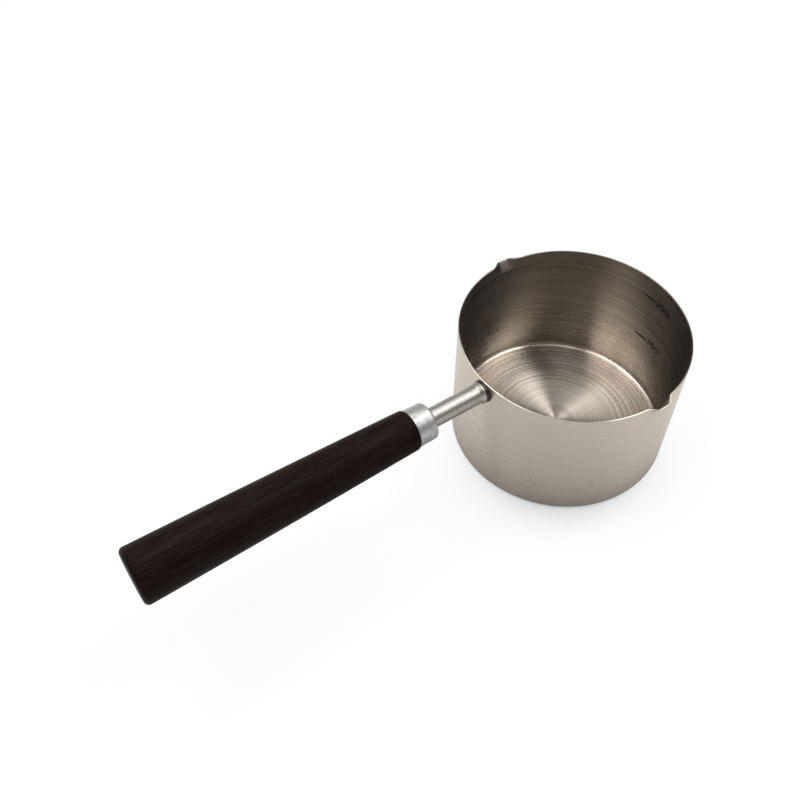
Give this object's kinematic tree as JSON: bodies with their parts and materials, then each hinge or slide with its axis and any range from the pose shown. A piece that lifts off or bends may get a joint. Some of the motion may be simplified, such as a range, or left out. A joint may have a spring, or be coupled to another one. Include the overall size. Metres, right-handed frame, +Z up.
{
  "type": "small spouted saucepan",
  "caption": "Small deep stainless saucepan with pinched pour lips at the rim and a straight turned wooden handle on a steel neck.",
  "frame": {"origin": "centre of the bowl's flat underside, where the pan stands", "axes": "+Z up, the handle points along -X, the two pour lips lie towards +Y and -Y"},
  "size_m": [0.205, 0.084, 0.057],
  "materials": {
    "bowl_steel": "satin, brushed round the wall and turned on the floor",
    "weld": "dark heat-tinted weld",
    "neck_steel": "polished",
    "stud_steel": "plain turned",
    "ferrule_metal": "matte",
    "grip_wood": "dark stained, satin oiled"
  },
  "bodies": {
    "root": {"bowl": "bowl_steel", "weld_bead": "weld", "neck_tube": "neck_steel", "threaded_stud": "stud_steel", "ferrule": "ferrule_metal", "grip": "grip_wood"}
  },
  "joints": []
}
